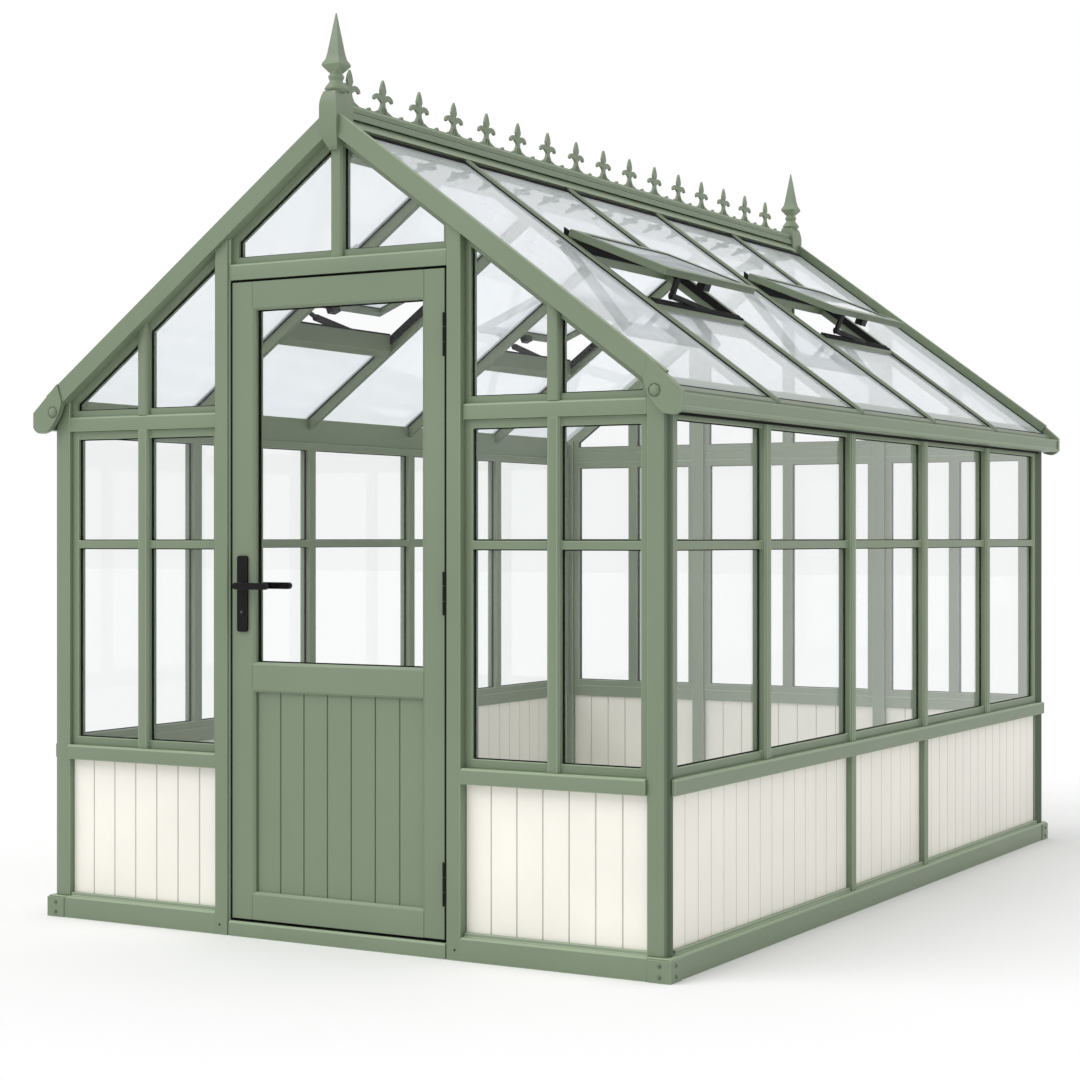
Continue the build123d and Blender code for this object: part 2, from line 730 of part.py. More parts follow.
# Door leaf: stiles and rails bevelled round one pane above and a boarded panel below
door_half = door_wide / 2
door_y = (door_back_step, door_back)
door_bevel = 8
spindle_x = -door_half + 41
spindle_z = 1046
spindle_hole = 6.5
opening_x = (-door_half + door_stile, door_half - door_stile)
pane_z = (lock_rail_top, door_top_rail_low)
board_z = (door_bottom_rail_top, lock_rail_low)
leaf = block((-door_half, door_half), door_y, (door_low, door_high))
leaf -= block(opening_x, (0, post_deep), pane_z)
leaf -= block(opening_x, (0, post_deep), board_z)
door_face = leaf.faces().sort_by(Axis.Y)[0]
rims = [edge for wire in door_face.inner_wires() for edge in wire.edges()]
leaf = chamfer(rims, door_bevel)
leaf -= Pos(spindle_x, door_back / 2, spindle_z) * Rot(90, 0, 0) * Cylinder(spindle_hole, 80)
save("door_frame", [front_wall * leaf])
save("door_glass", [front_wall * block(opening_x, (glass_in, glass_in + glass_thick), pane_z)])
save("door_panel", [front_wall * block(opening_x, (18, 36), board_z)])

# Lock plates either side of the door, each with the oval rim of its cylinder
plate_wide = 37
plate_low = 909
plate_tall = 227
plate_thick = 8
plate_round = 8
keyway_z = 966
with BuildSketch(Plane.XZ) as plate_face:
    with Locations((spindle_x, plate_low + plate_tall / 2)):
        RectangleRounded(plate_wide, plate_tall, plate_round)
    with Locations((spindle_x, spindle_z)):
        Circle(spindle_hole, mode=Mode.SUBTRACT)
with BuildSketch(Plane.XZ) as cylinder_face:
    with Locations((spindle_x, keyway_z)):
        SlotOverall(20, 12, rotation=90)
outer_plate = extrude(plate_face.sketch, amount=plate_thick - door_back_step)
outer_plate += extrude(plate_face.sketch, amount=-door_back_step)
outer_plate += extrude(cylinder_face.sketch, amount=plate_thick)
inner_plate = Pos(0, door_back, 0) * extrude(plate_face.sketch, amount=-plate_thick)
save("door_lock_plates", [front_wall * outer_plate, front_wall * inner_plate])

# Lever handles, one outside and one inside, turning together on a spindle through the door
lever_gap = 1.5
lever_long = 127
lever_tall = 20
lever_thick = 12
hub_r = 11
hub_long = 21
spindle_r = 4
outer_face = door_back_step - plate_thick - lever_gap
inner_face = door_back + plate_thick + lever_gap
grip_middle = spindle_x + lever_long / 2 - lever_tall / 2
with BuildSketch(Plane.XZ) as grip_face:
    with Locations((grip_middle, spindle_z)):
        SlotOverall(lever_long, lever_tall)


def turned(radius, y_low, y_high):
    """A round bar on the line of the spindle."""
    return Pos(spindle_x, (y_low + y_high) / 2, spindle_z) * Rot(90, 0, 0) * Cylinder(radius, y_high - y_low)


levers = turned(hub_r, outer_face - hub_long, outer_face) + turned(hub_r, inner_face, inner_face + hub_long)
levers += Pos(0, outer_face - hub_long, 0) * extrude(grip_face.sketch, amount=lever_thick)
levers += Pos(0, inner_face + hub_long, 0) * extrude(grip_face.sketch, amount=-lever_thick)
levers += turned(spindle_r, outer_face - 1, inner_face + 1)
save("door_levers", [front_wall * levers])
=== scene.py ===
import bmesh
import bpy
from math import cos, pi, radians, tan
from mathutils import Matrix, Vector


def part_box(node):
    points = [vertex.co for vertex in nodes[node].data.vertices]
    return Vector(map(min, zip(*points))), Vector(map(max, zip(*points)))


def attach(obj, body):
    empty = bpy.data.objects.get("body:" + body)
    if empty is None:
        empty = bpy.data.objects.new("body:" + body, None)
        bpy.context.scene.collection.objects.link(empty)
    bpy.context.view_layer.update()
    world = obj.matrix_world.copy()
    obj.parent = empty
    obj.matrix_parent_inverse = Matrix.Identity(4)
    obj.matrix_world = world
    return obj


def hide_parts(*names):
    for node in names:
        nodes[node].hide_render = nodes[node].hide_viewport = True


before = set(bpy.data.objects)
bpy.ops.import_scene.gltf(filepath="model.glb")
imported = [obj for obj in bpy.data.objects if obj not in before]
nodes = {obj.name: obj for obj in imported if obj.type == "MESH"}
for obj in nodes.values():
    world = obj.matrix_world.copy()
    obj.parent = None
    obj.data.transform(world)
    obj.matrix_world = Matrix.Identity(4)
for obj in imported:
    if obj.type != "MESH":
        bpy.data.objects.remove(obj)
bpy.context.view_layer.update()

# Studio: a white room with one broad soft lamp high on the front left, a pale floor under the building, and
# a level camera at chest height that looks past the right-hand corner.
scene = bpy.context.scene
scene.view_settings.view_transform = "Standard"
room_light = 0.84
room = bpy.data.worlds.new("white_room")
scene.world = room
room.use_nodes = True
room_nodes = room.node_tree.nodes
room_links = room.node_tree.links
rays = room_nodes.new("ShaderNodeLightPath")
mirrored = room_nodes.new("ShaderNodeMath")
mirrored.operation = "MAXIMUM"
looked_at = room_nodes.new("ShaderNodeMath")
looked_at.operation = "MAXIMUM"
brightness = room_nodes.new("ShaderNodeMapRange")
brightness.inputs["To Min"].default_value = room_light
brightness.inputs["To Max"].default_value = 1.0
room_links.new(rays.outputs["Is Glossy Ray"], mirrored.inputs[0])
room_links.new(rays.outputs["Is Transmission Ray"], mirrored.inputs[1])
room_links.new(rays.outputs["Is Camera Ray"], looked_at.inputs[0])
room_links.new(mirrored.outputs["Value"], looked_at.inputs[1])
room_links.new(looked_at.outputs["Value"], brightness.inputs["Value"])
room_nodes["Background"].inputs["Color"].default_value = (1, 1, 1, 1)
room_links.new(brightness.outputs["Result"], room_nodes["Background"].inputs["Strength"])

lamp_data = bpy.data.lights.new("soft_lamp", "SUN")
lamp_data.energy = 1.05
lamp_data.angle = radians(40)
lamp = bpy.data.objects.new("soft_lamp", lamp_data)
lamp.rotation_euler = Vector((0.42, 0.55, -0.72)).to_track_quat("-Z", "Y").to_euler()
scene.collection.objects.link(lamp)

camera_data = bpy.data.cameras.new("camera")
camera_data.lens = 74.187
camera_data.sensor_width = 36
camera_data.shift_x = 0.0005
camera_data.shift_y = -0.0017
camera = bpy.data.objects.new("camera", camera_data)
camera.location = (3.7418, -6.9745, 1.1883)
camera.rotation_euler = (radians(90), 0, radians(29.89))
scene.collection.objects.link(camera)
scene.camera = camera


def plain_material(name, colour, roughness, metallic=0.0, specular=0.5):
    """One even finish, given as a linear colour and a roughness."""
    material = bpy.data.materials.new(name)
    material.use_nodes = True
    shader = material.node_tree.nodes["Principled BSDF"]
    shader.inputs["Base Color"].default_value = (*colour, 1)
    shader.inputs["Roughness"].default_value = roughness
    shader.inputs["Metallic"].default_value = metallic
    shader.inputs["Specular IOR Level"].default_value = specular
    return material


floor_mesh = bpy.data.meshes.new("studio_floor")
floor_build = bmesh.new()
bmesh.ops.create_grid(floor_build, x_segments=1, y_segments=1, size=60)
floor_build.to_mesh(floor_mesh)
floor_build.free()
floor_mesh.materials.append(plain_material("pale_floor", (0.97, 0.97, 0.97), 1.0, specular=0.0))
floor = bpy.data.objects.new("studio_floor", floor_mesh)
scene.collection.objects.link(floor)

# Plinths and threshold: planed softwood beams that carry the building, sprayed with a satin sage green
# paint. Their upper edges are bevelled to shed water and every arris is eased with sandpaper.
sage = (0.178, 0.229, 0.148)


def brushed_paint():
    """Faint drifts of tone, uneven gloss, a painted highlight on skyward faces and a sprayed coat's
    orange-peel.
    """
    group = bpy.data.node_groups.new("brushed_paint", "ShaderNodeTree")
    group.interface.new_socket("Paint", in_out="INPUT", socket_type="NodeSocketColor")
    group.interface.new_socket("Top_highlight", in_out="INPUT", socket_type="NodeSocketFloat")
    group.interface.new_socket("Colour", in_out="OUTPUT", socket_type="NodeSocketColor")
    group.interface.new_socket("Roughness", in_out="OUTPUT", socket_type="NodeSocketFloat")
    group.interface.new_socket("Normal", in_out="OUTPUT", socket_type="NodeSocketVector")
    make = group.nodes.new
    join = group.links.new
    given = make("NodeGroupInput")
    result = make("NodeGroupOutput")
    place = make("ShaderNodeTexCoord")
    drifts = make("ShaderNodeTexNoise")
    drifts.inputs["Scale"].default_value = 2.2
    drifts.inputs["Detail"].default_value = 3
    tone = make("ShaderNodeMapRange")
    tone.inputs["From Min"].default_value = 0.3
    tone.inputs["From Max"].default_value = 0.7
    tone.inputs["To Min"].default_value = 0.95
    tone.inputs["To Max"].default_value = 1.05
    # Faces turned to the sky are made paler by the given share, as a painted highlight.
    facing = make("ShaderNodeNewGeometry")
    upward = make("ShaderNodeSeparateXYZ")
    top = make("ShaderNodeMapRange")
    top.inputs["From Min"].default_value = 0.35
    top.inputs["From Max"].default_value = 0.85
    top_highlighted = make("ShaderNodeMath")
    top_highlighted.operation = "MULTIPLY_ADD"
    top_highlighted.inputs[2].default_value = 1.0
    lightness = make("ShaderNodeMath")
    lightness.operation = "MULTIPLY"
    tinted = make("ShaderNodeVectorMath")
    tinted.operation = "SCALE"
    gloss = make("ShaderNodeMapRange")
    gloss.inputs["From Min"].default_value = 0.3
    gloss.inputs["From Max"].default_value = 0.7
    gloss.inputs["To Min"].default_value = 0.38
    gloss.inputs["To Max"].default_value = 0.52
    speckle = make("ShaderNodeTexNoise")
    speckle.inputs["Scale"].default_value = 260
    speckle.inputs["Detail"].default_value = 2
    bump = make("ShaderNodeBump")
    bump.inputs["Strength"].default_value = 0.12
    bump.inputs["Distance"].default_value = 0.0006
    join(place.outputs["Object"], drifts.inputs["Vector"])
    join(place.outputs["Object"], speckle.inputs["Vector"])
    join(drifts.outputs["Fac"], tone.inputs["Value"])
    join(drifts.outputs["Fac"], gloss.inputs["Value"])
    join(given.outputs["Paint"], tinted.inputs[0])
    join(facing.outputs["Normal"], upward.inputs["Vector"])
    join(upward.outputs["Z"], top.inputs["Value"])
    join(top.outputs["Result"], top_highlighted.inputs[0])
    join(given.outputs["Top_highlight"], top_highlighted.inputs[1])
    join(top_highlighted.outputs["Value"], lightness.inputs[0])
    join(tone.outputs["Result"], lightness.inputs[1])
    join(lightness.outputs["Value"], tinted.inputs["Scale"])
    join(speckle.outputs["Fac"], bump.inputs["Height"])
    join(tinted.outputs["Vector"], result.inputs["Colour"])
    join(gloss.outputs["Result"], result.inputs["Roughness"])
    join(bump.outputs["Normal"], result.inputs["Normal"])
    return group


paint_group = brushed_paint()


def painted(name, colour, top_highlight=0.0):
    """A painted surface in one colour, with a painted highlight by the share given where it faces the sky."""
    material = bpy.data.materials.new(name)
    material.use_nodes = True
    shader = material.node_tree.nodes["Principled BSDF"]
    coat = material.node_tree.nodes.new("ShaderNodeGroup")
    coat.node_tree = paint_group
    coat.inputs["Paint"].default_value = (*colour, 1)
    coat.inputs["Top_highlight"].default_value = top_highlight
    for coated, wanted in (("Colour", "Base Color"), ("Roughness", "Roughness"), ("Normal", "Normal")):
        material.node_tree.links.new(coat.outputs[coated], shader.inputs[wanted])
    return material


def merged_copy(node):
    """A CAD node's mesh with its loose triangles joined into whole flat faces."""
    build = bmesh.new()
    build.from_mesh(nodes[node].data)
    bmesh.ops.remove_doubles(build, verts=build.verts, dist=0.00002)
    bmesh.ops.recalc_face_normals(build, faces=build.faces)
    bmesh.ops.dissolve_limit(build, angle_limit=radians(0.5), verts=build.verts, edges=build.edges)
    return build


sharp_corner = radians(40)


def ease(build, width):
    """Takes the sharp corners off a piece, and gives the narrow faces left there the second material, a
    painted highlight.
    """
    joined = [edge for edge in build.edges if len(edge.link_faces) == 2]
    corners = [edge for edge in joined if edge.calc_face_angle() > sharp_corner]
    eased = bmesh.ops.bevel(build, geom=corners, offset=width, offset_type="OFFSET", affect="EDGES",
                            segments=1, profile=0.5, material=-1, clamp_overlap=True)
    for face in eased["faces"]:
        face.material_index = 1


sharp_turn = radians(30)


def finished(name, build, materials, body="building", stands_for=None):
    """Turns a build into a piece of the building that rides with its body."""
    mesh = bpy.data.meshes.new(name)
    build.to_mesh(mesh)
    build.free()
    mesh.shade_smooth()
    mesh.set_sharp_from_angle(angle=sharp_turn)
    for material in materials:
        mesh.materials.append(material)
    piece = bpy.data.objects.new(name, mesh)
    scene.collection.objects.link(piece)
    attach(piece, body)
    if stands_for:
        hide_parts(stands_for)
    return piece


def eased_part(node, materials, width, body="building"):
    """A CAD part shown with eased corners."""
    build = merged_copy(node)
    ease(build, width)
    finished("eased_" + node, build, materials, body, node)


# The eased arrises are painted paler by this share, as a painted highlight along each edge.
edge_highlight = 1.45
highlighted_sage = [value * edge_highlight for value in sage]
timber_ease = 0.002
sage_paint = (painted("sage_paint", sage, top_highlight=0.4), painted("sage_edge_highlights", highlighted_sage, top_highlight=0.4))
for node in ("end_plinths", "side_plinths", "door_threshold"):
    eased_part(node, sage_paint, timber_ease)

# Corner brackets: folded steel angles that tie the plinths together, powder coated to match, each leg held
# by two dome-headed bolts, one above the other. The bolt heads are painted darker, as painted shade.
coated_steel = (painted("sage_coat", sage, top_highlight=0.2), painted("sage_coat_edge_highlights", highlighted_sage, top_highlight=0.2))
folded_ease = 0.0008
# The bolt heads' darker colour is painted shade on their domes.
bolt_shade_steel = plain_material("coated_bolt_shade", [value * 0.55 for value in sage], 0.3)
bolt_radius = 0.006
bolt_proud = 0.004
bolt_heights = (0.016, 0.046)
bolt_from_corner = 0.034


def add_dome(build, seat, outwards, radius, proud):
    """A domed head that stands on a surface and faces outwards."""
    ball = bmesh.ops.create_uvsphere(build, u_segments=16, v_segments=10, radius=1)["verts"]
    half_gone = [vert for vert in ball if vert.co.z < -0.01]
    bmesh.ops.delete(build, geom=half_gone, context="VERTS")
    kept = [vert for vert in ball if vert.is_valid]
    turn = Vector(outwards).to_track_quat("Z", "Y").to_matrix().to_4x4()
    spread = Matrix.Diagonal((radius, radius, proud, 1))
    bmesh.ops.transform(build, matrix=Matrix.Translation(seat) @ turn @ spread, verts=kept)


eased_part("corner_brackets", coated_steel, folded_ease)
bracket_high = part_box("corner_brackets")[1]
bolts = bmesh.new()
for x_side in (-1, 1):
    for y_side in (-1, 1):
        for height in bolt_heights:
            x_face = x_side * bracket_high.x
            y_face = y_side * bracket_high.y
            inboard_x = x_face - x_side * bolt_from_corner
            inboard_y = y_face - y_side * bolt_from_corner
            add_dome(bolts, (inboard_x, y_face, height), (0, y_side, 0), bolt_radius, bolt_proud)
            add_dome(bolts, (x_face, inboard_y, height), (x_side, 0, 0), bolt_radius, bolt_proud)
finished("bracket_bolts", bolts, [bolt_shade_steel])

# Posts: planed softwood uprights. The corner posts are rounded outside, and down the building's sides their
# rounding and the flat beside it are painted darker green, as painted shade. The door posts are screwed
# through their feet into the plinth, and the dark heads show.
for node in ("door_posts", "back_posts", "side_dwarf_posts"):
    eased_part(node, sage_paint, timber_ease)
# The rounding is painted mid-dark and the flat side dark: painted shade where the post turns from the light.
rounding_shade_paint = painted("corner_rounding_shade", (0.102, 0.138, 0.085))
side_shade_paint = painted("corner_side_shade", (0.052, 0.08, 0.043))
shade_from_end = (0.0015, 0.0605)
shade_from_side = 0.0145
half_sideways = 0.5
fully_sideways = 0.7
corner_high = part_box("corner_posts")[1]
corners = merged_copy("corner_posts")
ease(corners, timber_ease)
for face in corners.faces:
    spot = face.calc_center_median()
    inward_y = corner_high.y - abs(spot.y)
    inward_x = corner_high.x - abs(spot.x)
    outward = face.normal.x if spot.x > 0 else -face.normal.x
    in_side_shade = inward_x < shade_from_side and shade_from_end[0] < inward_y < shade_from_end[1]
    if in_side_shade and outward > half_sideways:
        face.material_index = 3 if outward > fully_sideways else 2
corner_paints = (*sage_paint, rounding_shade_paint, side_shade_paint)
finished("eased_corner_posts", corners, corner_paints, stands_for="corner_posts")
post_low, post_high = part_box("door_posts")
screw_radius = 0.0042
screw_height = 0.03
screw_across = 0.018
screw_proud = 0.0008
dark_screw = plain_material("dark_screw", (0.045, 0.05, 0.04), 0.45, metallic=0.6)
screws = bmesh.new()
for x_side in (-1, 1):
    spot = (x_side * (post_high.x - screw_across), post_low.y, screw_height)
    add_dome(screws, spot, (0, -1, 0), screw_radius, screw_proud)
finished("door_post_screws", screws, [dark_screw])

# Rails, eaves beams and the door head: planed softwood in the same sage green paint. They tie the posts
# together, carry the windows and close the frame above the door.
for node in ("end_dwarf_rails", "side_dwarf_rails", "end_eaves_rails", "side_eaves_beams", "door_head"):
    eased_part(node, sage_paint, timber_ease)

# Boards of the low wall: tongued and grooved softwood with a V joint between boards, painted cream on both
# faces and set into the frame.
cream = (0.89, 0.862, 0.79)
# The V joint faces and the tongue between boards are painted darker, partly for dust and partly as painted
# shade.
cream_joint_dust_and_shade = [value * 0.8 for value in cream]
cream_dust_and_shade = [value * 0.52 for value in cream]
cream_boards = (painted("cream_paint", cream), painted("cream_joint_dust_and_shade", cream_joint_dust_and_shade),
                painted("cream_tongue_dust_and_shade", cream_dust_and_shade))
board_wide = 0.084
board_bevel = 0.0019
board_gap = 0.0016
tongue = 0.006


def loose_boxes(node):
    """The lowest and highest corner of each separate solid of a node."""
    build = merged_copy(node)
    boxes = []
    waiting = set(build.verts)
    while waiting:
        reached = {waiting.pop()}
        growing = list(reached)
        while growing:
            vert = growing.pop()
            for edge in vert.link_edges:
                other = edge.other_vert(vert)
                if other not in reached:
                    reached.add(other)
                    growing.append(other)
        waiting -= reached
        spots = [vert.co for vert in reached]
        low = Vector([min(spot[axis] for spot in spots) for axis in range(3)])
        high = Vector([max(spot[axis] for spot in spots) for axis in range(3)])
        boxes.append((low, high))
    build.free()
    return sorted(boxes, key=lambda box: tuple(round(value, 4) for value in box[0]))


def add_box(build, low, high):
    """A square-edged block between two corners, returned as its vertices."""
    size = Vector(high) - Vector(low)
    middle = (Vector(high) + Vector(low)) / 2
    stretch = Matrix.Translation(middle) @ Matrix.Diagonal((*size, 1))
    return bmesh.ops.create_cube(build, size=1, matrix=stretch)["verts"]


def boarded(name, node, materials, body="building"):
    """Upright boards that fill each panel of a node, with joint faces and a thin closing tongue painted
    darker for dust and shade.
    """
    build = bmesh.new()
    for low, high in loose_boxes(node):
        along = 0 if high.x - low.x > high.y - low.y else 1
        through = 1 - along
        count = round((high[along] - low[along]) / board_wide)
        pitch = (high[along] - low[along]) / count
        for index in range(count):
            board_low = low.copy()
            board_high = high.copy()
            board_low[along] = low[along] + pitch * index + board_gap / 2
            board_high[along] = low[along] + pitch * (index + 1) - board_gap / 2
            board = add_box(build, board_low, board_high)
            edges = {edge for vert in board for edge in vert.link_edges}
            uprights = [edge for edge in edges if abs(edge.verts[0].co.z - edge.verts[1].co.z) > 0.01]
            joint = bmesh.ops.bevel(build, geom=uprights, offset=board_bevel, offset_type="OFFSET",
                                    affect="EDGES", segments=1, profile=0.5, material=-1)
            for face in joint["faces"]:
                face.material_index = 1
        middle = (low[through] + high[through]) / 2
        tongue_low = low.copy()
        tongue_high = high.copy()
        tongue_low[through] = middle - tongue / 2
        tongue_high[through] = middle + tongue / 2
        strip = add_box(build, tongue_low, tongue_high)
        for face in {face for vert in strip for face in vert.link_faces}:
            face.material_index = 2
    finished(name, build, materials, body, node)


boarded("end_boards", "end_dwarf_panels", cream_boards)
boarded("side_boards", "side_dwarf_panels", cream_boards)

# Window frames: painted softwood lattices, rebated for the glass. They stand on the low wall's rail, fixed
# between the posts.
slim_ease = 0.0015
for node in ("front_window_frames", "back_window_frames", "side_window_frames"):
    eased_part(node, sage_paint, slim_ease)

# Glass and its seals: clear toughened float glass 4 mm thick, bedded in black rubber. The roof panes carry a
# pale bluish film, partly dried rain and partly a painted reflection of the sky, which is fainter on the
# windows and gables and absent on the door.


def clear_glass(name, tint, bend, film=0.0):
    """Glass letting lamp and bounced light straight through, with or without a film of dried rain and painted
    sky reflection.
    """
    material = bpy.data.materials.new(name)
    material.use_nodes = True
    tree = material.node_tree
    shader = tree.nodes["Principled BSDF"]
    shader.inputs["Base Color"].default_value = (*tint, 1)
    shader.inputs["Roughness"].default_value = 0.0
    shader.inputs["IOR"].default_value = bend
    shader.inputs["Transmission Weight"].default_value = 1.0
    ray = tree.nodes.new("ShaderNodeLightPath")
    through = tree.nodes.new("ShaderNodeBsdfTransparent")
    through.inputs["Color"].default_value = (0.995, 0.995, 0.995, 1)
    either = tree.nodes.new("ShaderNodeMath")
    either.operation = "MAXIMUM"
    mix = tree.nodes.new("ShaderNodeMixShader")
    tree.links.new(ray.outputs["Is Shadow Ray"], either.inputs[0])
    tree.links.new(ray.outputs["Is Diffuse Ray"], either.inputs[1])
    tree.links.new(either.outputs["Value"], mix.inputs["Fac"])
    seen = shader.outputs["BSDF"]
    if film:
        place = tree.nodes.new("ShaderNodeTexCoord")
        cloud = tree.nodes.new("ShaderNodeTexNoise")
        cloud.inputs["Scale"].default_value = 1.6
        cloud.inputs["Detail"].default_value = 2
        cover = tree.nodes.new("ShaderNodeMapRange")
        cover.inputs["From Min"].default_value = 0.3
        cover.inputs["From Max"].default_value = 0.7
        cover.inputs["To Min"].default_value = film * 0.6
        cover.inputs["To Max"].default_value = film * 1.4
        # The film's pale blue is partly a painted reflection of the sky.
        film_and_sky_tint = (0.9, 0.94, 1.0, 1)
        rain_and_sky_film = tree.nodes.new("ShaderNodeMixShader")
        above = tree.nodes.new("ShaderNodeBsdfDiffuse")
        above.inputs["Color"].default_value = film_and_sky_tint
        below = tree.nodes.new("ShaderNodeBsdfTranslucent")
        below.inputs["Color"].default_value = film_and_sky_tint
        tree.links.new(above.outputs["BSDF"], rain_and_sky_film.inputs[1])
        tree.links.new(below.outputs["BSDF"], rain_and_sky_film.inputs[2])
        filmed = tree.nodes.new("ShaderNodeMixShader")
        tree.links.new(place.outputs["Object"], cloud.inputs["Vector"])
        tree.links.new(cloud.outputs["Fac"], cover.inputs["Value"])
        tree.links.new(cover.outputs["Result"], filmed.inputs["Fac"])
        tree.links.new(shader.outputs["BSDF"], filmed.inputs[1])
        tree.links.new(rain_and_sky_film.outputs["Shader"], filmed.inputs[2])
        seen = filmed.outputs["Shader"]
    tree.links.new(seen, mix.inputs[1])
    tree.links.new(through.outputs["BSDF"], mix.inputs[2])
    tree.links.new(mix.outputs["Shader"], tree.nodes["Material Output"].inputs["Surface"])
    return material


window_glass = clear_glass("window_glass", (0.945, 0.957, 0.952), bend=1.3, film=0.018)
clean_glass = clear_glass("door_glass", (0.962, 0.972, 0.968), bend=1.25)
gable_clear = clear_glass("gable_glass", (0.985, 0.99, 0.988), bend=1.25, film=0.01)
filmed_glass = clear_glass("roof_glass", (0.96, 0.972, 0.99), bend=1.35, film=0.36)
for glass, panes in ((clean_glass, ("door_glass",)), (gable_clear, ("gable_glass",)),
                     (window_glass, ("front_window_glass", "back_window_glass", "side_window_glass")),
                     (filmed_glass, ("roof_glass", "vent_glass"))):
    for node in panes:
        nodes[node].data.materials.clear()
        nodes[node].data.materials.append(glass)

# The same black serves for real rubber and for painted shade where black lines stand in dark gaps.
black_rubber_and_shade = plain_material("black_rubber_and_shade", (0.008, 0.008, 0.008), 0.75, specular=0.12)
smallest_pane_face = 0.01
off_the_glass = 0.0002


def glazing_seals(name, node, start, wide, tall, facing=None, body="building"):
    """Rubber strips round each pane of a node, standing on its broad faces near their edges."""
    build = merged_copy(node)
    broad = [face for face in build.faces if face.calc_area() > smallest_pane_face]
    if facing:
        broad = [face for face in broad if face.normal.dot(Vector(facing)) > 0]
    rest = [face for face in build.faces if face not in set(broad)]
    bmesh.ops.delete(build, geom=rest, context="FACES")
    if start:
        margin = bmesh.ops.inset_individual(build, faces=broad, thickness=start, depth=0,
                                            use_even_offset=True)
        bmesh.ops.delete(build, geom=margin["faces"], context="FACES")
    bmesh.ops.inset_individual(build, faces=broad, thickness=wide, depth=0, use_even_offset=True)
    bmesh.ops.delete(build, geom=broad, context="FACES")
    build.normal_update()
    for vert in build.verts:
        vert.co += vert.link_faces[0].normal * off_the_glass
    raised = bmesh.ops.extrude_face_region(build, geom=build.faces[:])["geom"]
    tops = [item for item in raised if isinstance(item, bmesh.types.BMFace)]
    lifts = {vert: face.normal.copy() * tall for face in tops for vert in face.verts}
    for vert, lift in lifts.items():
        vert.co += lift
    bmesh.ops.recalc_face_normals(build, faces=build.faces)
    finished(name, build, [black_rubber_and_shade], body)


for node in ("front_window_glass", "back_window_glass", "side_window_glass", "gable_glass"):
    glazing_seals(node + "_seals", node, start=0, wide=0.003, tall=0.002)
glazing_seals("door_glass_seals", "door_glass", start=0, wide=0.003, tall=0.004, body="door")
glazing_seals("roof_under_seals", "roof_glass", start=0.003, wide=0.005, tall=0.003, facing=(0, 0, -1))
glazing_seals("vent_glass_seals", "vent_glass", start=0, wide=0.002, tall=0.002)

# Gable frames and rafters: the upper windows of both ends under heavy painted softwood rafters. A large bolt
# with a domed cap nut and a washer stands on the plate at each rafter's foot. The washer is painted dark as
# painted shade round the nut.
for node in ("front_gable_frames", "back_gable_frames", "gable_rafters"):
    eased_part(node, sage_paint, timber_ease)
nut_x = 1.056
nut_height = 1.583
nut_foot = 0.0165
nut_top = 0.0125
nut_thick = 0.0045
nut_dome = 0.0024
dome_share = 0.86
washer_radius = 0.0185
washer_thick = 0.0008
plate_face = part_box("gutter_end_caps")[1].y
rafter_nuts = bmesh.new()
rafter_washers = bmesh.new()


def add_disc(build, seat, outwards, foot, top, thick, sides):
    """A round or many-sided disc that stands on a surface, tapering from its foot to its top."""
    turn = Vector(outwards).to_track_quat("Z", "Y").to_matrix().to_4x4()
    place = Matrix.Translation(seat) @ turn @ Matrix.Translation((0, 0, thick / 2))
    bmesh.ops.create_cone(build, segments=sides, cap_ends=True, radius1=foot, radius2=top, depth=thick,
                          matrix=place)


for x_side in (-1, 1):
    for y_side in (-1, 1):
        seat = Vector((x_side * nut_x, y_side * plate_face, nut_height))
        outwards = Vector((0, y_side, 0))
        nut_seat = seat + outwards * washer_thick
        dome_seat = seat + outwards * (washer_thick + nut_thick)
        add_disc(rafter_washers, seat, outwards, washer_radius, washer_radius, washer_thick, sides=32)
        add_disc(rafter_nuts, nut_seat, outwards, nut_foot, nut_top, nut_thick, sides=6)
        add_dome(rafter_nuts, dome_seat, outwards, nut_top * dome_share, nut_dome)
finished("rafter_nuts", rafter_nuts, coated_steel)
# The washer's dark colour is painted shade round the nut.
washer_shade_paint = plain_material("washer_shade_paint", [value * 0.42 for value in sage], 0.5)
finished("rafter_washers", rafter_washers, [washer_shade_paint])

# Ridge, roof bars and castings: coated aluminium bars clamp the panes, a softwood ridge carries a capping,
# and cast iron cresting and finials are screwed down on top. Black strips close the glass against ridge, bars
# and eaves, and fine black lines are painted shade in the capping's groove and step and along the gutters.
eased_part("ridge_beam", sage_paint, slim_ease)
bar_sage = [value * 0.82 for value in sage]
bar_coat = (painted("bar_coat", bar_sage), painted("bar_coat_edge_highlights", [value * edge_highlight for value in bar_sage]))
bar_ease = 0.001
cast_ease = 0.0012
for node in ("roof_bars", "eaves_strips"):
    eased_part(node, bar_coat, bar_ease)
for node in ("ridge_cresting", "ridge_finials"):
    eased_part(node, coated_steel, cast_ease)

apex = 2.440
pitch = radians(36.5)
glass_lift = -0.030


def roof_point(x, y, lift):
    """A place on the roof slope, lifted square to it from the rafters' top line."""
    return Vector((x, y, apex - abs(x) * tan(pitch) + lift / cos(pitch)))


def add_slope_box(build, x_in, x_out, y_low, y_high, lift_low, lift_high):
    """A strip that lies along the roof slope."""
    side = 1 if x_out > 0 else -1
    corners = add_box(build, (min(x_in, x_out), y_low, lift_low), (max(x_in, x_out), y_high, lift_high))
    for vert in corners:
        vert.co = roof_point(vert.co.x, vert.co.y, vert.co.z)


